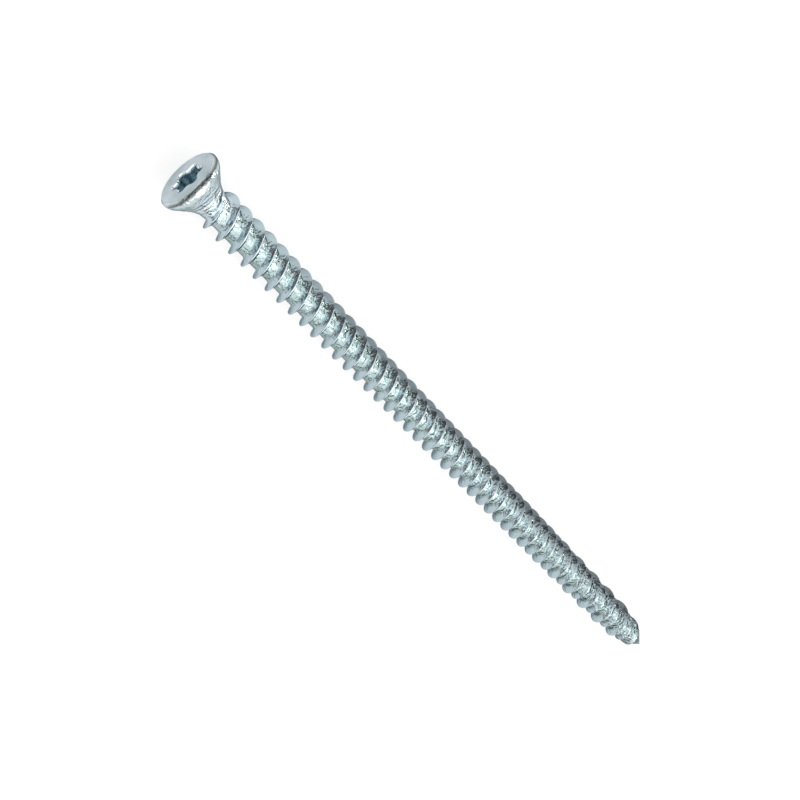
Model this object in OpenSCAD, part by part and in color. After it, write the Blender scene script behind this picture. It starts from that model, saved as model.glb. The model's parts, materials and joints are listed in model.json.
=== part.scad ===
// Concrete screw: countersunk head with a six-lobe recess, two-start thread, plain point.
// The screw is drawn upright on its head's flat, then laid down on its rim and its thread.

/* [Screw] */
// Length from the flat of the head to the tip
screw_length = 152; // [80:1:302]

/* [Head] */
// Diameter across the rim
head_d = 11.2; // [9.5:0.1:14]
// Height of the straight rim, with its bevelled edge
rim_h = 0.52; // [0.4:0.02:1.5]
// Width of the bevel between the flat and the rim
bevel_w = 0.4; // [0.1:0.05:0.6]
// Height of that bevel
bevel_h = 0.4; // [0.1:0.05:0.4]
// Radius of the shoulder that leads from the rim to the countersink
shoulder_r = 2; // [0.1:0.1:2.5]
// Included angle of the countersink
sink_angle = 76; // [70:1:100]
// Radius of the hollow that leads from the countersink to the neck
hollow_r = 4.7; // [1:0.1:6]
// Diameter of the plain neck
neck_d = 5.1; // [4.6:0.1:6]
// Length of the plain neck
neck_length = 0.1; // [0.1:0.1:20]

/* [Drive recess] */
// Width across opposite lobes
recess_d = 5.6; // [4.4:0.1:6.8]
// Width across opposite valleys
recess_waist = 4; // [3.2:0.05:4.4]
// Radius of the round end of a lobe
lobe_r = 0.47; // [0.35:0.01:0.5]
// Depth of the straight walls
recess_depth = 2.8; // [1.5:0.1:3.2]
// Depth of the cone below the straight walls
recess_cone_h = 0.6; // [0.2:0.1:1]
// Turn of the lobes about the axis
recess_turn = 48; // [0:1:59]

/* [Thread] */
// Diameter over the crests
thread_d = 7.4; // [6:0.1:9]
// Diameter of the core between the ridges
core_d = 4.8; // [4:0.1:5.2]
// Ridges that wind side by side
thread_starts = 2; // [1:1:3]
// Distance from one ridge to the next
ridge_spacing = 3.12; // [2:0.01:4]
// Width of a ridge at its foot
foot_w = 1.45; // [0.8:0.05:1.8]
// Width of a ridge at its crest
crest_w = 0.22; // [0.1:0.02:0.6]
// Length over which the ridges rise out of the neck
run_in = 0.5; // [0.5:0.1:6]

/* [Point] */
// Length of the cone that ends the core
point_length = 4.8; // [3:0.1:12]
// Length of the bare tip beyond the ridges
bare_tip = 3; // [0.5:0.1:5]
// Length over which the ridges sink towards the bare tip
point_taper = 11; // [4:0.1:20]
// Diameter over the ridges that run low beside the point
low_ridge_d = 6.3; // [5.2:0.1:7.4]
// Distance from the tip at which those ridges begin to sink
low_ridge_from = 53; // [20:1:70]
// Distance from the tip at which they are low
low_ridge_to = 15; // [8:1:19]

/* [Hidden] */

zinc = [0.74, 0.78, 0.81];

// Facets in one turn of the thread, in the round of a revolve and in a short arc
facets = 28;
round_facets = 96;
arc_steps = 6;
// Depth by which a cut starts outside the head
cut_margin = 0.5;
// Smallest step between rows of the thread surface
row_gap = 0.08;
// Depth by which the threaded shank reaches into the neck
shank_overlap = 0.5;

// Half sizes
head_r = head_d / 2;
neck_r = neck_d / 2;
core_r = core_d / 2;
thread_r = thread_d / 2;
low_ridge_r = low_ridge_d / 2;
recess_r = recess_d / 2;
sink_half = sink_angle / 2;

// Heights above the flat of the head
bends_r = shoulder_r + hollow_r;
hollow_end = rim_h + (bends_r - (neck_r + bends_r - head_r) * cos(sink_half)) / sin(sink_half);
neck_end = hollow_end + neck_length;
shank_from = neck_end - shank_overlap;
// Ridge centre on the underside, where the first ridge begins
first_ridge = shank_from;

// Six-lobe outline: lobes and valleys are arcs that meet without a corner
lobes = 6;
lobe_angle = 360 / lobes;
half_lobe = lobe_angle / 2;
lobe_centre = recess_r - lobe_r;
waist_r = recess_waist / 2;
valley_r = (lobe_centre * lobe_centre + waist_r * waist_r - 2 * lobe_centre * waist_r * cos(half_lobe)
    - lobe_r * lobe_r) / (2 * (lobe_r - waist_r + lobe_centre * cos(half_lobe)));
valley_centre = waist_r + valley_r;
blend_angle = atan2(valley_centre * sin(half_lobe), valley_centre * cos(half_lobe) - lobe_centre);

function polar(radius, angle) = radius * [cos(angle), sin(angle)];
function arc(centre, radius, from, to) = [
    for (i = [0 : arc_steps])
        centre + polar(radius, from + (to - from) * i / arc_steps)
];

recess_outline = [
    for (i = [0 : lobes - 1])
        let (turn = i * lobe_angle)
        each concat(
            arc(polar(lobe_centre, turn), lobe_r, turn - blend_angle, turn + blend_angle),
            arc(polar(valley_centre, turn + half_lobe), valley_r,
                turn + 180 + blend_angle, turn + 2 * half_lobe + 180 - blend_angle)
        )
];

head_outline = concat(
    [[0, 0], [head_r - bevel_w, 0], [head_r, bevel_h]],
    arc([head_r - shoulder_r, rim_h], shoulder_r, 0, sink_half),
    arc([neck_r + hollow_r, hollow_end], hollow_r, 180 + sink_half, 180),
    [[neck_r, neck_end], [0, neck_end]]
);

// Thread surface: rows follow the ridges round the core, columns run along it.
// A ridge is four rows, and one full turn moves a column on by the rows of every start.
row_places = [-foot_w / 2, -crest_w / 2, crest_w / 2, foot_w / 2];
row_rises = [0, 1, 1, 0];
ridge_rows = len(row_places);
turn_rows = ridge_rows * thread_starts;
lead = ridge_spacing * thread_starts;
// The start whose ridges run low beside the point
low_start = 1;
row_limit = ridge_rows * ceil(screw_length / ridge_spacing);

function ease(t) =
    let (u = min(max(t, 0), 1))
    u * u * (3 - 2 * u);
function ridge_of(row) = floor(row / ridge_rows);
function row_in_ridge(row) = row - ridge_rows * ridge_of(row);
function start_of(row) = ridge_of(row) - thread_starts * floor(ridge_of(row) / thread_starts);
function height(row, column) =
    first_ridge + ridge_spacing * ridge_of(row) + lead * column / facets + row_places[row_in_ridge(row)];
function core_radius(h) = core_r * min(1, (screw_length - h) / point_length);
function crest_radius(row, h) =
    let (from_tip = screw_length - h)
    let (sunk = ease((low_ridge_from - from_tip) / (low_ridge_from - low_ridge_to)))
    start_of(row) == low_start ? thread_r - (thread_r - low_ridge_r) * sunk : thread_r;
function ridge_height(row, h) =
    (crest_radius(row, h) - core_r) * ease((h - shank_from) / run_in)
        * sin(90 * min(max((screw_length - bare_tip - h) / point_taper, 0), 1));
function surface_point(row, column) =
    let (h = height(row, column))
    let (r = core_radius(h) + row_rises[row_in_ridge(row)] * ridge_height(row, h))
    concat(polar(r, 360 * column / facets), h);

// First and last row of each column between the neck and the tip
column_rows = [
    for (column = [0 : facets - 1])
        let (inside = [
            for (row = [-row_limit : row_limit])
                let (h = height(row, column))
                if (h > shank_from + row_gap && h < screw_length - row_gap)
                    row
        ])
        [inside[0], inside[len(inside) - 1]]
];
function first_row(column) =
    column < facets ? column_rows[column][0] : column_rows[0][0] - turn_rows;
function last_row(column) =
    column < facets ? column_rows[column][1] : column_rows[0][1] - turn_rows;
column_starts = [
    for (column = 0, count = facets + 1;
            column < facets;
            count = count + last_row(column) - first_row(column) + 1, column = column + 1)
        count
];

// Places in the list of points: the ring in the neck, the tip, then the columns
tip_index = facets;
function ring_index(column) = column % facets;
function index(row, column) =
    column < facets ? column_starts[column] + row - first_row(column) : index(row + turn_rows, 0);

shank_points = concat(
    [for (column = [0 : facets - 1]) concat(polar(core_r, 360 * column / facets), shank_from)],
    [[0, 0, screw_length]],
    [for (column = [0 : facets - 1])
        for (row = [first_row(column) : last_row(column)])
            surface_point(row, column)]
);

// Faces between a column and the next, from the ring in the neck to the tip
function strip_faces(column) =
    let (here = column)
    let (next = column + 1)
    concat(
        [[ring_index(here), index(first_row(next), next), ring_index(next)]],
        [for (row = [first_row(next) : 1 : first_row(here) - 1])
            [ring_index(here), index(row + 1, next), index(row, next)]],
        [[ring_index(here), index(first_row(here), here), index(first_row(here), next)]],
        [for (row = [first_row(here) : 1 : last_row(next) - 1])
            each [
                [index(row, here), index(row + 1, next), index(row, next)],
                [index(row, here), index(row + 1, here), index(row + 1, next)]
            ]],
        [for (row = [last_row(next) : 1 : last_row(here) - 1])
            [index(row, here), index(row + 1, here), index(last_row(next), next)]],
        [[index(last_row(here), here), tip_index, index(last_row(next), next)]]
    );
shank_faces = concat(
    [[for (column = [0 : facets - 1]) column]],
    [for (column = [0 : facets - 1]) each strip_faces(column)]
);

// Rest: the rim and the last full ridge on the underside touch the ground
full_ridges = floor((screw_length - bare_tip - point_taper - crest_w / 2 - first_ridge) / lead);
rest_ridge = first_ridge + lead * full_ridges + crest_w / 2;
lie_angle = atan((head_r - thread_r) / (rest_ridge - rim_h));
axis_height = rim_h * sin(lie_angle) + head_r * cos(lie_angle);
flat_reach = (head_r - bevel_w) * sin(lie_angle);
middle = (screw_length * cos(lie_angle) - flat_reach) / 2;

module drive_recess() {
    intersection() {
        translate([0, 0, -cut_margin])
            linear_extrude(cut_margin + recess_depth + recess_cone_h)
                rotate(recess_turn)
                    polygon(recess_outline);
        rotate_extrude($fn = round_facets)
            polygon([
                [0, -cut_margin],
                [recess_d, -cut_margin],
                [recess_d, recess_depth],
                [recess_r, recess_depth],
                [0, recess_depth + recess_cone_h]
            ]);
    }
}

module head() {
    difference() {
        rotate_extrude($fn = round_facets)
            polygon(head_outline);
        drive_recess();
    }
}

module threaded_shank() {
    polyhedron(shank_points, shank_faces);
}

module laid_down() {
    translate([-middle, 0, axis_height])
        rotate([0, 90 + lie_angle, 0])
            children();
}

module screw() {
    color(zinc)
        laid_down() {
            head();
            threaded_shank();
        }
}

screw();
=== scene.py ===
"""Concrete screw with a countersunk head, a six-lobe recess and a two-start thread, in bright zinc."""
import json
from math import cos, pi, radians, sin, sqrt, tan

import bmesh
import bpy
import numpy as np
from mathutils import Matrix, Vector, noise


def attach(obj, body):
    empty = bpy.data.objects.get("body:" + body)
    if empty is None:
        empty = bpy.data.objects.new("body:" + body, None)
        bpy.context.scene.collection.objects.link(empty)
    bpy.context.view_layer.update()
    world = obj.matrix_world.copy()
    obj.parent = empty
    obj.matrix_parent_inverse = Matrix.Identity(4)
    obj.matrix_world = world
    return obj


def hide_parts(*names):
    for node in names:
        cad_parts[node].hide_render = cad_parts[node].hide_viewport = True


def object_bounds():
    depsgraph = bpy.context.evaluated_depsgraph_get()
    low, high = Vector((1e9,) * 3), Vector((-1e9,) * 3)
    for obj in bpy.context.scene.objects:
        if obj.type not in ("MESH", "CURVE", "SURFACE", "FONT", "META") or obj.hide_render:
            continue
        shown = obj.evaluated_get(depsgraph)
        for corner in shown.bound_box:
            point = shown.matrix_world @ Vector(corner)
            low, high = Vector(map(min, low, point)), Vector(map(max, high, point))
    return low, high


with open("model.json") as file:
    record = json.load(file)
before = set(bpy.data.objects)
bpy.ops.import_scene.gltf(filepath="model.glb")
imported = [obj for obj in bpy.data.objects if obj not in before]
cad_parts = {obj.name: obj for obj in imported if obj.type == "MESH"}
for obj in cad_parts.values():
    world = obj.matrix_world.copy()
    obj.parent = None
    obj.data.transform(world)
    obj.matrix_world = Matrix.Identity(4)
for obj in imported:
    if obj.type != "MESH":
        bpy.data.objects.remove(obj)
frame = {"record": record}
cad_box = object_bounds()

MM = 0.001

# Photograph: its side and focal length in pixels, and where it shows the middle of the flat and the tip
IMAGE_SIDE = 800
FOCAL_PIXELS = 1309
HEAD_PIXEL = (186.9, 177.9)
TIP_PIXEL = (639.5, 644.1)
# Distance of the head's flat in front of the camera, and the turn of the view about the screw's axis
HEAD_DEPTH = 202.3 * MM
VIEW_TURN = radians(-1.3)
# Width of the camera's sensor in millimetres, and the nearest distance that it sees
SENSOR_WIDTH = 36
NEAREST_SEEN = 10 * MM

# Screw's length and head, in millimetres
SCREW_LENGTH = 152
HEAD_R = 11.2 / 2
RIM_H = 0.52
BEVEL_W = 0.4
BEVEL_H = 0.4
EDGE_R = 0.07
SHOULDER_R = 2
SINK_HALF = radians(76 / 2)
HOLLOW_R = 4.7
NECK_R = 5.1 / 2
NECK_LENGTH = 0.1

# Drive recess, in millimetres
LOBES = 6
RECESS_R = 5.6 / 2
WAIST_R = 4 / 2
LOBE_R = 0.47
RECESS_DEPTH = 2.8
RECESS_CONE_H = 0.6
RECESS_TURN = radians(48)
# How much wider than its bit the recess is, its lead-in, and the rounding of its mouth and its foot
RECESS_EASE = 0.2
LEAD_IN = 0.1
LEAD_IN_DEPTH = 0.28
MOUTH_R = 0.08
WELL_R = 0.2

# Thread and point, in millimetres
THREAD_R = 7.4 / 2
CORE_R = 4.8 / 2
THREAD_STARTS = 2
RIDGE_SPACING = 3.12
RUN_IN = 0.5
SHANK_OVERLAP = 0.5
POINT_LENGTH = 4.8
BARE_TIP = 3
POINT_TAPER = 11
# The start whose ridges run low by the point, their radius, and how far from the tip they sink and are low
LOW_START = 1
LOW_RIDGE_R = 6.3 / 2
LOW_RIDGE_FROM = 53
LOW_RIDGE_TO = 15
# Length over which the neck narrows to the core, and how far before the neck's end that begins
NARROWING = 0.8
NARROWING_BEFORE = 0.3

# Shallow rings that the thread rolling left on the hollow: height, rise and half width of each
RUN_OUT_RINGS = [(3.15, 0.05, 0.2), (4, 0.07, 0.24), (4.7, 0.08, 0.26), (5.4, 0.06, 0.22)]
# How far they slant to one side, and the length beyond the neck over which they fade
RUN_OUT_SLOPE = 0.25
RUN_OUT_FADE = 0.6

# Heights above the flat of the head, with the radii that they need, and the thread's lead
BENDS_R = SHOULDER_R + HOLLOW_R
HOLLOW_END = RIM_H + (BENDS_R - (NECK_R + BENDS_R - HEAD_R) * cos(SINK_HALF)) / sin(SINK_HALF)
HOLLOW_START = HOLLOW_END - HOLLOW_R * sin(SINK_HALF)
SINK_START = RIM_H + SHOULDER_R * sin(SINK_HALF)
SINK_R = HEAD_R - SHOULDER_R * (1 - cos(SINK_HALF))
NECK_END = HOLLOW_END + NECK_LENGTH
FIRST_RIDGE = NECK_END - SHANK_OVERLAP
LEAD = RIDGE_SPACING * THREAD_STARTS

# Columns of the surface run along the screw: each lobe of the recess takes some, and each valley the rest
LOBE_COLUMNS = 8
VALLEY_COLUMNS = 12
COLUMNS = LOBES * (LOBE_COLUMNS + VALLEY_COLUMNS)
COLUMN_STEP = radians(360) / COLUMNS
ANGLES = RECESS_TURN + (np.arange(COLUMNS) - (LOBE_COLUMNS - 1) / 2) * COLUMN_STEP

# Rings of the surface: shares of the way out on the recess's floor, down its walls and out on the flat
FLOOR_SHARES = (0.12, 0.3, 0.5, 0.7, 0.84)
WALL_SHARES = (0.67, 0.33)
FLAT_SHARES = (0.03, 0.2, 0.45, 0.7, 0.9, 0.985)
# Rings round the foot and the mouth of the recess, down its lead-in and round the head's edges
WELL_RINGS = 4
LEAD_IN_RINGS = 3
MOUTH_RINGS = 5
CORNER_RINGS = 5
SHOULDER_RINGS = 9
# Step from ring to ring down the countersink and the hollow
SINK_STEP = 0.13

# Height at which level rings give way to rows that wind with the thread, and the gap at the rows' ends
WINDING_FROM = 4.3
ROW_GAP = 0.06
# Rows of half a ridge: distance from the ridge's middle, and share of the ridge's height
HALF_RIDGE = [(0, 1), (0.08, 0.98), (0.17, 0.88), (0.6, 0.19), (0.75, 0.03)]
RIDGE = [(-place, share) for place, share in HALF_RIDGE[:0:-1]] + HALF_RIDGE
# Rows of the valley after it
VALLEY_ROWS = 6
VALLEY_FROM = HALF_RIDGE[-1][0]
VALLEY_STEP = (RIDGE_SPACING - 2 * VALLEY_FROM) / (VALLEY_ROWS + 1)
VALLEY = [(VALLEY_FROM + VALLEY_STEP * (i + 1), 0) for i in range(VALLEY_ROWS)]
ROW_PLACES, ROW_SHARES = zip(*RIDGE, *VALLEY)
RIDGE_ROWS = len(ROW_PLACES)
TURN_ROWS = RIDGE_ROWS * THREAD_STARTS
# Ridges tried beyond the screw's length
SPARE_RIDGES = 2

# Order of the surface's points: the middle of the recess's floor, the tip, the rings, the winding rows
POLE = 0
TIP = 1
RING_FROM = 2

# Marks that move the surface, in millimetres: lumps on the core
LUMP_H = 0.03
LUMP_SIZE = 0.6
# Dents in the head
DENT_DEPTH = 0.006
DENT_SIZE = 0.5
DENT_SHIFT = 3
# Nicks in the crests where the noise is over a level, deepest in the crest's middle
NICK_DEPTH = 0.05
NICK_SIZE = 1.3
NICK_SHIFT = 11
NICK_LEVEL = 0.1
NICK_POWER = 4
# Length of the tip that the marks leave sharp, and the distance from the axis that counts as none
SHARP_TIP = 2
NO_REACH = 0.001

# How lumpy the plating looks, against the core near the head
FLAT_LUMPS = 0.12
BEVEL_LUMPS = 0.3
RIM_LUMPS = 0.6
CREST_LUMPS = 0.06
CORE_LUMPS = 1
TIP_CREST_LUMPS = 0.6
TIP_CORE_LUMPS = 1.6
# Share of the screw's length at which it begins to look lumpier
TIP_LUMPS_FROM = 0.6

# Painted shade on the bevel and the rim, in millimetres: its rise from the flat, its end and the fade before
# it
BEVEL_SHADE_RISE = 0.1
BEVEL_SHADE_TO = 0.9
BEVEL_SHADE_FADE = 0.4
# The painted shade is darkest at the top: its lean to one side, the distance over which it thins out, its
# level midway
BEVEL_SHADE_LEAN = 0.3
BEVEL_SHADE_SPREAD = 3
BEVEL_SHADE_LEVEL = 0.3

# Plating colours, with painted shade and a painted highlight among them
HEAD_ZINC = (0.74, 0.81, 0.86, 1)
SHANK_ZINC = (0.38, 0.485, 0.49, 1)
TIP_ZINC = (0.3, 0.38, 0.38, 1)
GREEN_ZINC = (0.36, 0.49, 0.47, 1)
DULL_ZINC = (0.46, 0.57, 0.63, 1)
# Painted shade: the dark tone on the flanks of one side (+Y)
PAINTED_SHADE_TINT = (0.1, 0.12, 0.135, 1)
WORN_ZINC = (0.62, 0.66, 0.69, 1)
# Dark pits, kept off one side (−Y) as painted shade
PIT_AND_SHADE_TINT = (0.1, 0.115, 0.115, 1)
RECESS_ZINC = (0.48, 0.6, 0.65, 1)
# Rubbed steel on the recess's lead-in, lighter also as a painted highlight
RUBBED_AND_HIGHLIGHT_STEEL = (0.9, 0.92, 0.94, 1)
# Painted shade on the bevel and the rim
BEVEL_SHADE_TINT = (0.13, 0.133, 0.133, 1)
# Tint of what the plating reflects at a glancing angle
EDGE_ZINC = (0.3, 0.33, 0.36, 1)

# How much of each colour shows at most
GREEN_SHARE = 0.6
DULL_SHARE = 0.7
# Painted shade on one side's flanks, first layer
PAINTED_SHADE_SHARE = 0.6
WORN_SHARE = 0.4
# Painted shade on one side's flanks, second layer, growing towards the tip
LATE_PAINTED_SHADE_SHARE = 0.55
PIT_SHARE = 0.55
# Rubbed steel and painted highlight on the lead-in
RUBBED_AND_HIGHLIGHT_SHARE = 0.5
# Painted shade on the bevel and the rim
BEVEL_SHADE_SHARE = 0.9

# Where a colour begins and is full, in shares of the screw's length from the flat
SHANK_STRETCH = (0.02, 0.08)
TIP_STRETCH = (0.15, 0.9)
# Where the painted shade on one side's flanks begins and is full
PAINTED_SHADE_STRETCH = (0.12, 0.25)
LATE_PAINTED_SHADE_STRETCH = (0.15, 0.6)
PIT_STRETCH = (0.6, 0.85)
# The same, in shares of a ridge's height
FLANK_RISE = (0.05, 0.3)
WORN_RISE = (0.85, 1)
# The same, in distances to the side of the axis
# Side of the axis whose flanks get painted shade
PAINTED_SHADE_SIDE = (0.5 * MM, 2.5 * MM)
# Side of the axis kept clear of pits, as painted shade
LOWER_SIDE = (-0.8 * MM, -1.8 * MM)
# The same, in levels of noise
GREEN_LEVELS = (0.4, 0.7)
PIT_LEVELS = (0.52, 0.62)
SATIN_LEVELS = (0.3, 0.7)

# Sizes of green clouds, pits and satin patches, in millimetres
GREEN_SIZE = 4
GREEN_DETAIL = 2
PIT_SIZE = 0.6
SATIN_SIZE = 0.3
# Roughness of bright plating, and what satin patches and the recess add to it
BRIGHT_ROUGHNESS = 0.15
SATIN_ROUGHNESS = 0.1
RECESS_ROUGHNESS = 0.05
# Lumps in the plating, as size and height in millimetres
PLATING_LUMPS = [(1, 0.2), (0.5, 0.12), (0.2, 0.03)]

# Floor: how much of its own white it shows, its colour, its side and its drop below the screw in metres
FLOOR_GLOW = 0.7
FLOOR_WHITE = (0.93, 0.93, 0.93, 1)
FLOOR_SIDE = 6.0
FLOOR_DROP = 0.02 * MM

# Soft light panels: the middle of each and its size in metres, its brightness, and its lean from facing down
LIGHT_PANELS = {
    "canopy": ((0.15, -0.3, 0.5), (2.1, 2.0), 1.35, 0),
    "strip": ((1.0, 0.0, 0.48), (2.06, 0.16), 2.3, 0),
    "side": ((0.55, 1.0, 0.24), (0.3, 0.28), 9, radians(-90)),
}
# Room: its walls, the pale foot of them, and the pale wall beyond the tip
ROOM_GREY = (0.1, 0.085, 0.078, 1)
PALE_FOOT = (0.85, 0.85, 0.85, 1)
FAR_WALL = (1.0, 0.94, 0.87, 1)
# Parts of a direction, up and ahead: where the foot fades out, and where the far wall begins and is full
FOOT_FADE = (0.05, 0.2)
FAR_WALL_AHEAD = (0.5, 0.95)

# Where the screw lies: the recess's mount gives the middle of the flat and the axis
recess_mount = next(m for m in frame["record"]["mounts"] if m["name"] == "drive_recess")
flat_middle = Vector(recess_mount["pos_m"])
along = -Vector(recess_mount["axis"]).normalized()
side = Vector((0, 1, 0))
under = side.cross(along)


def place_camera():
    """Puts the camera where the flat's middle and the tip fall on their pixels."""
    def ray(pixel):
        across = (pixel[0] - IMAGE_SIDE / 2) / FOCAL_PIXELS
        up = (IMAGE_SIDE / 2 - pixel[1]) / FOCAL_PIXELS
        return Vector((across, up, -1))

    to_head = ray(HEAD_PIXEL) * HEAD_DEPTH
    # The tip is on its own ray, one screw's length beyond the flat
    tip_ray = ray(TIP_PIXEL)
    squared = tip_ray.length_squared
    middle = tip_ray.dot(to_head)
    apart = to_head.length_squared - (SCREW_LENGTH * MM) ** 2
    to_tip = tip_ray * ((middle + sqrt(middle ** 2 - squared * apart)) / squared)

    seen_along = (to_tip - to_head).normalized()
    seen_up = (-to_head - seen_along * seen_along.dot(-to_head)).normalized()
    seen_side = seen_up.cross(seen_along)
    up = -under * cos(VIEW_TURN) - side * sin(VIEW_TURN)
    seen = Matrix((seen_along, seen_up, seen_side))
    world = Matrix((along, up, up.cross(along))).transposed()
    turn = world @ seen

    data = bpy.data.cameras.new("camera")
    data.sensor_width = SENSOR_WIDTH
    data.lens = SENSOR_WIDTH * FOCAL_PIXELS / IMAGE_SIDE
    data.clip_start = NEAREST_SEEN
    camera = bpy.data.objects.new("camera", data)
    camera.matrix_world = Matrix.Translation(flat_middle - turn @ to_head) @ turn.to_4x4()
    bpy.context.scene.collection.objects.link(camera)
    bpy.context.scene.camera = camera


def ease(t):
    """Smooth step from 0 to 1."""
    t = np.clip(t, 0, 1)
    return t * t * (3 - 2 * t)


def noise_at(points, size, shift=0.0):
    """Smooth noise from about -1 to 1 at each point, with lumps of a size, moved aside by a shift."""
    moved = Vector((shift, shift, shift))
    return np.array([noise.noise(Vector(point) / size + moved) for point in points])


def recess_outline(out=0.0):
    """The recess's six-lobe outline at the columns, moved out into the head by some distance."""
    wider = out + RECESS_EASE
    half = radians(180) / LOBES
    lobe_centre = RECESS_R - LOBE_R
    rise = lobe_centre ** 2 + WAIST_R ** 2 - 2 * lobe_centre * WAIST_R * cos(half) - LOBE_R ** 2
    valley_r = rise / (2 * (LOBE_R - WAIST_R + lobe_centre * cos(half)))
    valley_centre = WAIST_R + valley_r
    blend = np.arctan2(valley_centre * sin(half), valley_centre * cos(half) - lobe_centre)
    lobe_turns = blend * (2 * (np.arange(LOBE_COLUMNS) + 0.5) / LOBE_COLUMNS - 1)
    valley_turns = (blend - half) * (1 - 2 * (np.arange(VALLEY_COLUMNS) + 0.5) / VALLEY_COLUMNS)
    lobe = lobe_centre + (LOBE_R + wider) * np.exp(1j * lobe_turns)
    valley = np.exp(1j * half) * (valley_centre - (valley_r - wider) * np.exp(1j * valley_turns))
    one = np.concatenate([lobe, valley])
    turns = RECESS_TURN + 2 * half * np.arange(LOBES)
    outline = (np.exp(1j * turns)[:, None] * one).ravel()
    return np.stack([outline.real, outline.imag], 1)


def circle(radius):
    """Points on a circle at the columns, or at a radius for each column."""
    radius = np.broadcast_to(radius, COLUMNS)
    return np.stack([radius * np.cos(ANGLES), radius * np.sin(ANGLES)], 1)


def level_ring(outline, height):
    """A ring of points at one height, or at a height for each column."""
    return np.column_stack([outline, np.broadcast_to(height, COLUMNS)])


def recess_rings():
    """Rings from the middle of the recess's floor up its walls to its rounded mouth."""
    outline = recess_outline()
    spread = np.linalg.norm(outline, axis=1)

    def floor_height(share):
        return RECESS_DEPTH + RECESS_CONE_H * (1 - share * spread / RECESS_R)

    rings = [level_ring(outline * share, floor_height(share)) for share in FLOOR_SHARES]
    foot = floor_height(1)
    for turn in np.linspace(0, radians(90), WELL_RINGS):
        inner = recess_outline(-WELL_R * (1 - sin(turn)))
        rings.append(level_ring(inner, foot - WELL_R * (1 - cos(turn))))
    wall_h = foot - WELL_R - LEAD_IN_DEPTH
    for share in WALL_SHARES:
        rings.append(level_ring(outline, LEAD_IN_DEPTH + wall_h * share))
    for share in np.arange(LEAD_IN_RINGS) / LEAD_IN_RINGS:
        height = LEAD_IN_DEPTH + (MOUTH_R - LEAD_IN_DEPTH) * share
        rings.append(level_ring(recess_outline(LEAD_IN * share), height))
    for turn in np.linspace(0, radians(90), MOUTH_RINGS):
        out = LEAD_IN + MOUTH_R * (1 - cos(turn))
        rings.append(level_ring(recess_outline(out), MOUTH_R * (1 - sin(turn))))
    return rings


def flat_rings():
    """Rings across the flat, from the recess's mouth to where the edge begins to round."""
    inner = recess_outline(LEAD_IN + MOUTH_R)
    outer = circle(HEAD_R - BEVEL_W - EDGE_R)
    return [level_ring(inner + (outer - inner) * share, 0) for share in FLAT_SHARES]


def shank_radius(height):
    """Radius under the ridges: countersink, hollow, neck, core and point."""
    sink = SINK_R - (height - SINK_START) * tan(SINK_HALF)
    dip = np.clip(HOLLOW_END - height, 0, HOLLOW_R)
    hollow = NECK_R + HOLLOW_R - np.sqrt(HOLLOW_R ** 2 - dip ** 2)
    core = NECK_R + (CORE_R - NECK_R) * ease((height - NECK_END + NARROWING_BEFORE) / NARROWING)
    point = CORE_R * np.minimum(1, (SCREW_LENGTH - height) / POINT_LENGTH)
    shank = np.minimum(core, point)
    return np.where(height < HOLLOW_START, sink, np.where(height < HOLLOW_END, hollow, shank))


def run_out(angle, height):
    """Rise of the shallow rings on the hollow."""
    slanted = height - RUN_OUT_SLOPE * np.sin(angle)
    rings = sum(rise * np.exp(-((slanted - at) / width) ** 2) for at, rise, width in RUN_OUT_RINGS)
    return rings * ease((NECK_END - height) / RUN_OUT_FADE + 1)


def corner_rings(radius, height, lean_from, lean_to):
    """Rings round a corner of the head, between faces that lean out from the flat by two angles."""
    def outward(lean):
        return np.array([sin(lean), -cos(lean)])

    inset = EDGE_R / (1 + cos(lean_to - lean_from))
    middle = np.array([radius, height]) - inset * (outward(lean_from) + outward(lean_to))
    profile = [middle + EDGE_R * outward(lean) for lean in np.linspace(lean_from, lean_to, CORNER_RINGS)]
    return [level_ring(circle(ring_radius), ring_height) for ring_radius, ring_height in profile]


def head_rings():
    """Rings round the bevel, the rim, the countersink and the hollow, as far as the first winding row."""
    bevel_lean = np.arctan2(BEVEL_H, BEVEL_W)
    rings = corner_rings(HEAD_R - BEVEL_W, 0, 0, bevel_lean)
    rings += corner_rings(HEAD_R, BEVEL_H, bevel_lean, radians(90))
    for turn in np.linspace(0, SINK_HALF, SHOULDER_RINGS):
        radius = HEAD_R - SHOULDER_R * (1 - cos(turn))
        rings.append(level_ring(circle(radius), RIM_H + SHOULDER_R * sin(turn)))
    for height in [*np.arange(SINK_START + SINK_STEP, WINDING_FROM, SINK_STEP), WINDING_FROM]:
        radius = shank_radius(height) + run_out(ANGLES, height)
        rings.append(level_ring(circle(radius), height))
    return rings


def row_height(row, angle):
    """Height of a winding row at an angle: one turn on, it is the row of the next turn."""
    ridge, part = divmod(row, RIDGE_ROWS)
    return FIRST_RIDGE + RIDGE_SPACING * ridge + LEAD * angle / radians(360) + ROW_PLACES[part]


def ridge_height(row, height):
    """Height of a ridge's crest over the core."""
    start = (row // RIDGE_ROWS) % THREAD_STARTS
    from_tip = SCREW_LENGTH - height
    sunk = ease((LOW_RIDGE_FROM - from_tip) / (LOW_RIDGE_FROM - LOW_RIDGE_TO)) * (start == LOW_START)
    crest_r = THREAD_R - (THREAD_R - LOW_RIDGE_R) * sunk
    rising = ease((height - FIRST_RIDGE) / RUN_IN)
    sinking = np.sin(radians(90) * np.clip((from_tip - BARE_TIP) / POINT_TAPER, 0, 1))
    return (crest_r - CORE_R) * rising * sinking


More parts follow.
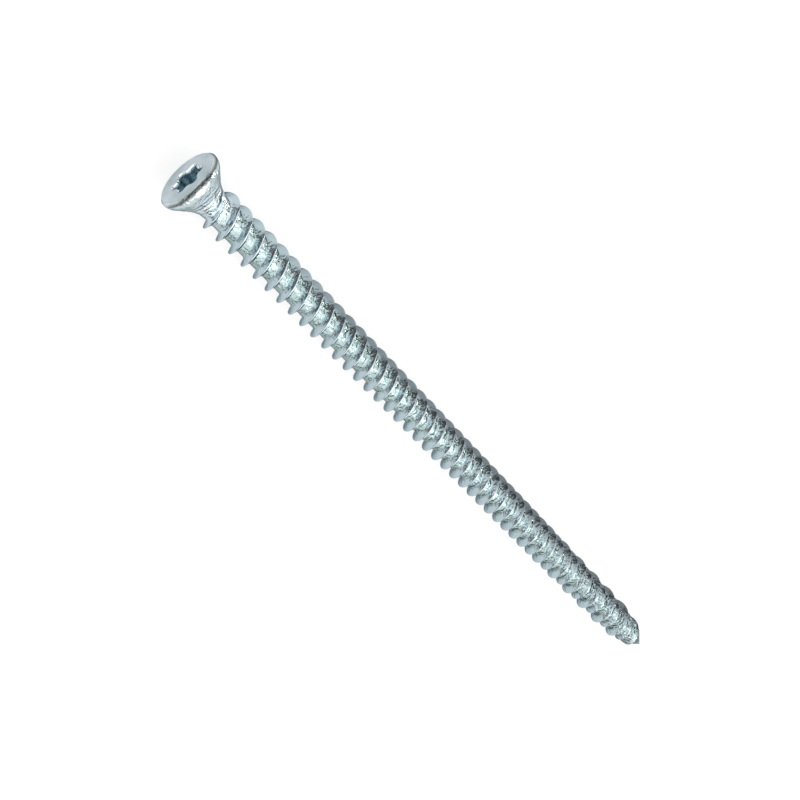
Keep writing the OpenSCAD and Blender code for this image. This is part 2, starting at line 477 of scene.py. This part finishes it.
def winding_rows():
    """The first row of each column, and its points from the hollow to the tip with their ridge shares."""
    first_rows = []
    columns = []
    limit = RIDGE_ROWS * int(SCREW_LENGTH / RIDGE_SPACING + SPARE_RIDGES)
    for angle in ANGLES:
        rows = [row for row in range(-limit, limit)
                if WINDING_FROM + ROW_GAP < row_height(row, angle) < SCREW_LENGTH - ROW_GAP]
        height = np.array([row_height(row, angle) for row in rows])
        share = np.array([ROW_SHARES[row % RIDGE_ROWS] for row in rows])
        rise = share * ridge_height(np.array(rows), height)
        radius = shank_radius(height) + rise + run_out(angle, height)
        first_rows.append(rows[0])
        columns.append(np.stack([radius * cos(angle), radius * sin(angle), height, share], 1))
    return first_rows, columns


def screw_faces(ring_count, first_rows, lengths):
    """Faces of the closed surface: each column's strip to the next, from the recess's floor to the tip."""
    column_from = RING_FROM + COLUMNS * ring_count + np.cumsum([0] + lengths)
    last_ring = ring_count - 1

    def on_ring(ring, column):
        return RING_FROM + COLUMNS * ring + column % COLUMNS

    def first_row(column):
        return first_rows[column] if column < COLUMNS else first_rows[0] - TURN_ROWS

    def last_row(column):
        return first_row(column) + lengths[column % COLUMNS] - 1

    def on_row(row, column):
        return int(column_from[column % COLUMNS] + row - first_row(column))

    faces = []
    for here in range(COLUMNS):
        after = here + 1
        faces.append((POLE, on_ring(0, after), on_ring(0, here)))
        for ring in range(last_ring):
            faces.append((on_ring(ring, here), on_ring(ring, after),
                          on_ring(ring + 1, after), on_ring(ring + 1, here)))
        joint = on_ring(last_ring, here)
        faces.append((joint, on_ring(last_ring, after), on_row(first_row(after), after)))
        for row in range(first_row(after), first_row(here)):
            faces.append((joint, on_row(row, after), on_row(row + 1, after)))
        faces.append((joint, on_row(first_row(here), after), on_row(first_row(here), here)))
        for row in range(first_row(here), last_row(after)):
            faces.append((on_row(row, here), on_row(row, after),
                          on_row(row + 1, after), on_row(row + 1, here)))
        for row in range(last_row(after), last_row(here)):
            faces.append((on_row(row, here), on_row(last_row(after), after), on_row(row + 1, here)))
        faces.append((on_row(last_row(here), here), on_row(last_row(after), after), TIP))
    return faces


def painted_bevel_shade(points):
    """How much painted shade lies on the bevel and the rim at each point."""
    down, aside, height = points.T
    on_rim = ease(height / BEVEL_SHADE_RISE) * ease((BEVEL_SHADE_TO - height) / BEVEL_SHADE_FADE)
    return on_rim * ease((BEVEL_SHADE_LEAN * aside - down) / BEVEL_SHADE_SPREAD + BEVEL_SHADE_LEVEL)


def lumpiness(height, on_flat, on_thread, on_core):
    """How lumpy the plating looks at each point."""
    near_tip = ease((height / SCREW_LENGTH - TIP_LUMPS_FROM) / (1 - TIP_LUMPS_FROM))
    crest_lumps = CREST_LUMPS + (TIP_CREST_LUMPS - CREST_LUMPS) * near_tip
    core_lumps = CORE_LUMPS + (TIP_CORE_LUMPS - CORE_LUMPS) * near_tip
    thread_lumps = crest_lumps + (core_lumps - crest_lumps) * on_core
    head_lumps = np.where(on_flat, FLAT_LUMPS, np.where(height > BEVEL_H, RIM_LUMPS, BEVEL_LUMPS))
    return np.where(on_thread, thread_lumps, head_lumps)


def rolling_marks(points, crest, on_core, outside):
    """Moves that rolling and handling leave: lumps on the core, dents in the head and nicks in the crests."""
    height = points[:, 2]
    away = points * (1, 1, 0)
    away /= np.maximum(np.linalg.norm(away, axis=1), NO_REACH)[:, None]
    lumps = LUMP_H * on_core * noise_at(points, LUMP_SIZE)
    on_rim = outside & (height > BEVEL_H / 2)
    dents = on_rim * DENT_DEPTH * (1 + noise_at(points, DENT_SIZE, DENT_SHIFT)) * (1 - on_core)
    nick_noise = np.clip(noise_at(points, NICK_SIZE, NICK_SHIFT) - NICK_LEVEL, 0, 1)
    nicks = crest ** NICK_POWER * NICK_DEPTH * nick_noise
    keep_tip = ease((SCREW_LENGTH - height) / SHARP_TIP)
    return away * ((lumps - dents - nicks) * keep_tip)[:, None]


def screw_mesh():
    """The whole screw as one closed surface, drawn upright on its flat and then laid where the CAD says."""
    zones = [recess_rings(), flat_rings(), head_rings()]
    rings = [ring for zone in zones for ring in zone]
    first_rows, columns = winding_rows()
    pole = np.array([[0, 0, RECESS_DEPTH + RECESS_CONE_H]])
    tip = np.array([[0, 0, SCREW_LENGTH]])
    points = np.concatenate([pole, tip, *rings, *[column[:, :3] for column in columns]])
    faces = screw_faces(len(rings), first_rows, [len(column) for column in columns])

    recess_to, flat_to, head_to = RING_FROM + COLUMNS * np.cumsum([len(zone) for zone in zones])
    lead_in_to = recess_to - COLUMNS * (MOUTH_RINGS - 1)
    lead_in_from = lead_in_to - COLUMNS * LEAD_IN_RINGS
    number = np.arange(len(points))
    height = points[:, 2]
    on_flat = number < flat_to
    on_thread = number >= head_to
    crest = np.concatenate([np.zeros(head_to), *[column[:, 3] for column in columns]])
    on_core = on_thread * (1 - crest)
    painted = {
        "crest": crest,
        "recess": (number < lead_in_from) & (number != TIP),
        # Lead-in, lightened in the material as rubbed steel and painted highlight
        "lead_in": (number >= lead_in_from) & (number < lead_in_to),
        # Painted shade on the bevel and the rim, as an attribute
        "bevel": painted_bevel_shade(points) * ~on_flat,
        "lumpy": lumpiness(height, on_flat, on_thread, on_core),
        "length_share": height / SCREW_LENGTH,
    }

    points += rolling_marks(points, crest, on_core, number >= recess_to)
    laid = points @ np.array([under, side, along]) * MM + np.array(flat_middle)
    mesh = bpy.data.meshes.new("screw")
    mesh.from_pydata(laid.tolist(), [], faces)
    solid = bmesh.new()
    solid.from_mesh(mesh)
    bmesh.ops.recalc_face_normals(solid, faces=solid.faces)
    solid.to_mesh(mesh)
    solid.free()
    mesh.shade_smooth()
    for name, values in painted.items():
        mesh.attributes.new(name, "FLOAT", "POINT").data.foreach_set("value", values.astype(np.float32))
    return mesh


# Sockets of a Mix node that mixes colours
MIX_FACTOR = 0
MIX_LOW = 6
MIX_HIGH = 7
MIX_RESULT = 2


class Wire:
    """A socket in a material or a world, with arithmetic that adds Math nodes."""

    def __init__(self, tree, socket=None):
        self.tree = tree
        self.socket = socket

    def node(self, kind, settings=None, sockets=None, out=0):
        """A new node of a kind, with its settings first and then its sockets' values or links."""
        made = self.tree.nodes.new("ShaderNode" + kind)
        for name, value in (settings or {}).items():
            setattr(made, name, value)
        for name, value in (sockets or {}).items():
            if isinstance(value, Wire):
                self.tree.links.new(value.socket, made.inputs[name])
            else:
                made.inputs[name].default_value = value
        return Wire(self.tree, made.outputs[out] if made.outputs else None)

    def math(self, operation, *values):
        """A Math node on some values or wires."""
        return self.node("Math", {"operation": operation}, dict(enumerate(values)))

    def __add__(self, other):
        return self.math("ADD", self, other)

    def __radd__(self, other):
        return self.math("ADD", other, self)

    def __sub__(self, other):
        return self.math("SUBTRACT", self, other)

    def __rsub__(self, other):
        return self.math("SUBTRACT", other, self)

    def __mul__(self, other):
        return self.math("MULTIPLY", self, other)

    def __rmul__(self, other):
        return self.math("MULTIPLY", other, self)

    def between(self, low, high):
        """0 at a low value and before it, 1 at a high one and beyond, and even in between."""
        return self.node("MapRange", {}, {"Value": self, "From Min": low, "From Max": high})

    def colour(self, low, high):
        """A colour from low to high as this value goes from 0 to 1."""
        sockets = {MIX_FACTOR: self, MIX_LOW: low, MIX_HIGH: high}
        return self.node("Mix", {"data_type": "RGBA"}, sockets, MIX_RESULT)


def empty_nodes(owner):
    """The nodes of a material or a world, emptied, as a wire to build on."""
    owner.use_nodes = True
    owner.node_tree.nodes.clear()
    return Wire(owner.node_tree)


def zinc_plate():
    """Bright zinc: blue on the head, greener down the shank, dull on the flanks and rubbed on the crests.

    One side's flanks and the bevel carry painted shade, and the plating is pitted towards the tip,
    with the pits kept off one side as painted shade. The lead-in is rubbed steel and painted highlight.
    """
    material = bpy.data.materials.new("zinc_plate")
    wire = empty_nodes(material)
    place = wire.node("TexCoord", out="Object")
    aside = wire.node("SeparateXYZ", {}, {"Vector": place}, out="Y")

    def painted(name):
        return wire.node("Attribute", {"attribute_name": name}, out="Fac")

    def lumps(size, detail=1):
        return wire.node("TexNoise", {}, {"Vector": place, "Scale": 1 / (size * MM), "Detail": detail})

    crest = painted("crest")
    recess = painted("recess")
    length_share = painted("length_share")
    clouds = lumps(GREEN_SIZE, GREEN_DETAIL).between(*GREEN_LEVELS)
    flank = crest.between(*FLANK_RISE)
    # Painted shade: the flanks on one side (+Y) of the axis
    painted_shade_flank = flank * aside.between(*PAINTED_SHADE_SIDE)
    # Random dark pits, kept off one side (−Y) as painted shade
    pits_and_side_shade = lumps(PIT_SIZE).between(*PIT_LEVELS) * (1 - aside.between(*LOWER_SIDE))
    layers = [
        (length_share.between(*SHANK_STRETCH), SHANK_ZINC),
        (length_share.between(*TIP_STRETCH), TIP_ZINC),
        (clouds * GREEN_SHARE, GREEN_ZINC),
        (flank * DULL_SHARE, DULL_ZINC),
        # Painted shade on one side's flanks, first layer
        (painted_shade_flank * length_share.between(*PAINTED_SHADE_STRETCH) * PAINTED_SHADE_SHARE, PAINTED_SHADE_TINT),
        (crest.between(*WORN_RISE) * WORN_SHARE, WORN_ZINC),
        # Painted shade on one side's flanks, second layer, growing towards the tip
        (painted_shade_flank * length_share.between(*LATE_PAINTED_SHADE_STRETCH) * LATE_PAINTED_SHADE_SHARE, PAINTED_SHADE_TINT),
        # Random pits towards the tip, held off one side as painted shade
        (pits_and_side_shade * length_share.between(*PIT_STRETCH) * PIT_SHARE, PIT_AND_SHADE_TINT),
        (recess, RECESS_ZINC),
        # Lead-in: rubbed steel and painted highlight
        (painted("lead_in") * RUBBED_AND_HIGHLIGHT_SHARE, RUBBED_AND_HIGHLIGHT_STEEL),
        # Painted shade on the bevel and the rim
        (painted("bevel") * BEVEL_SHADE_SHARE, BEVEL_SHADE_TINT),
    ]
    colour = HEAD_ZINC
    for share, tint in layers:
        colour = share.colour(colour, tint)

    satin = lumps(SATIN_SIZE).between(*SATIN_LEVELS)
    roughness = BRIGHT_ROUGHNESS + satin * SATIN_ROUGHNESS + recess * RECESS_ROUGHNESS
    height = painted("lumpy") * sum(rise * lumps(size) for size, rise in PLATING_LUMPS)
    bump = wire.node("Bump", {}, {"Strength": 1.0, "Distance": MM, "Height": height})
    shader = wire.node("BsdfPrincipled", {}, {
        "Base Color": colour,
        "Metallic": 1.0,
        "Roughness": roughness,
        "Specular Tint": EDGE_ZINC,
        "Normal": bump,
    })
    wire.node("OutputMaterial", {}, {"Surface": shader})
    return material


def make_screw():
    """The plated screw, in place of the CAD solid."""
    mesh = screw_mesh()
    mesh.materials.append(zinc_plate())
    screw = bpy.data.objects.new("zinc_screw", mesh)
    bpy.context.scene.collection.objects.link(screw)
    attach(screw, "root")
    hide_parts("screw")


def lay_floor():
    """A plain white floor that keeps a faint shadow."""
    material = bpy.data.materials.new("white_floor")
    wire = empty_nodes(material)
    in_camera = wire.node("LightPath", out="Is Camera Ray")
    in_metal = wire.node("LightPath", out="Is Glossy Ray")
    through_glass = wire.node("LightPath", out="Is Transmission Ray")
    seen = (in_camera + in_metal + through_glass).between(0, 1)
    paint = wire.node("BsdfDiffuse", {}, {"Color": FLOOR_WHITE})
    glow = wire.node("Emission", {}, {"Color": (1, 1, 1, 1), "Strength": 1.0})
    both = wire.node("MixShader", {}, {0: seen * FLOOR_GLOW, 1: paint, 2: glow})
    wire.node("OutputMaterial", {}, {"Surface": both})

    half = FLOOR_SIDE / 2
    corners = [(-half, -half, 0), (half, -half, 0), (half, half, 0), (-half, half, 0)]
    mesh = bpy.data.meshes.new("floor")
    mesh.from_pydata(corners, [], [(0, 1, 2, 3)])
    mesh.materials.append(material)
    floor = bpy.data.objects.new("floor", mesh)
    floor.location.z = cad_box[0].z - FLOOR_DROP
    bpy.context.scene.collection.objects.link(floor)


def set_lights():
    """A broad soft canopy with a brighter strip along it, and a small panel at one side."""
    for name, (middle, size, brightness, lean) in LIGHT_PANELS.items():
        data = bpy.data.lights.new(name, "AREA")
        data.shape = "RECTANGLE"
        data.size, data.size_y = size
        data.energy = brightness * pi * size[0] * size[1]
        lamp = bpy.data.objects.new(name, data)
        lamp.location = middle
        lamp.rotation_euler.x = lean
        bpy.context.scene.collection.objects.link(lamp)


def build_room():
    """A grey room with a pale foot to its walls and a pale wall beyond the tip."""
    room = bpy.data.worlds.new("room")
    wire = empty_nodes(room)
    toward = wire.node("TexCoord", out="Generated")
    ahead = wire.node("SeparateXYZ", {}, {"Vector": toward}, out="X")
    height = wire.node("SeparateXYZ", {}, {"Vector": toward}, out="Z")
    walls = ahead.between(*FAR_WALL_AHEAD).colour(ROOM_GREY, FAR_WALL)
    walls = height.between(*FOOT_FADE).colour(PALE_FOOT, walls)
    shine = wire.node("Background", {}, {"Color": walls, "Strength": 1.0})
    wire.node("OutputWorld", {}, {"Surface": shine})
    bpy.context.scene.world = room


bpy.context.scene.view_settings.view_transform = "Standard"
place_camera()
make_screw()
lay_floor()
set_lights()
build_room()
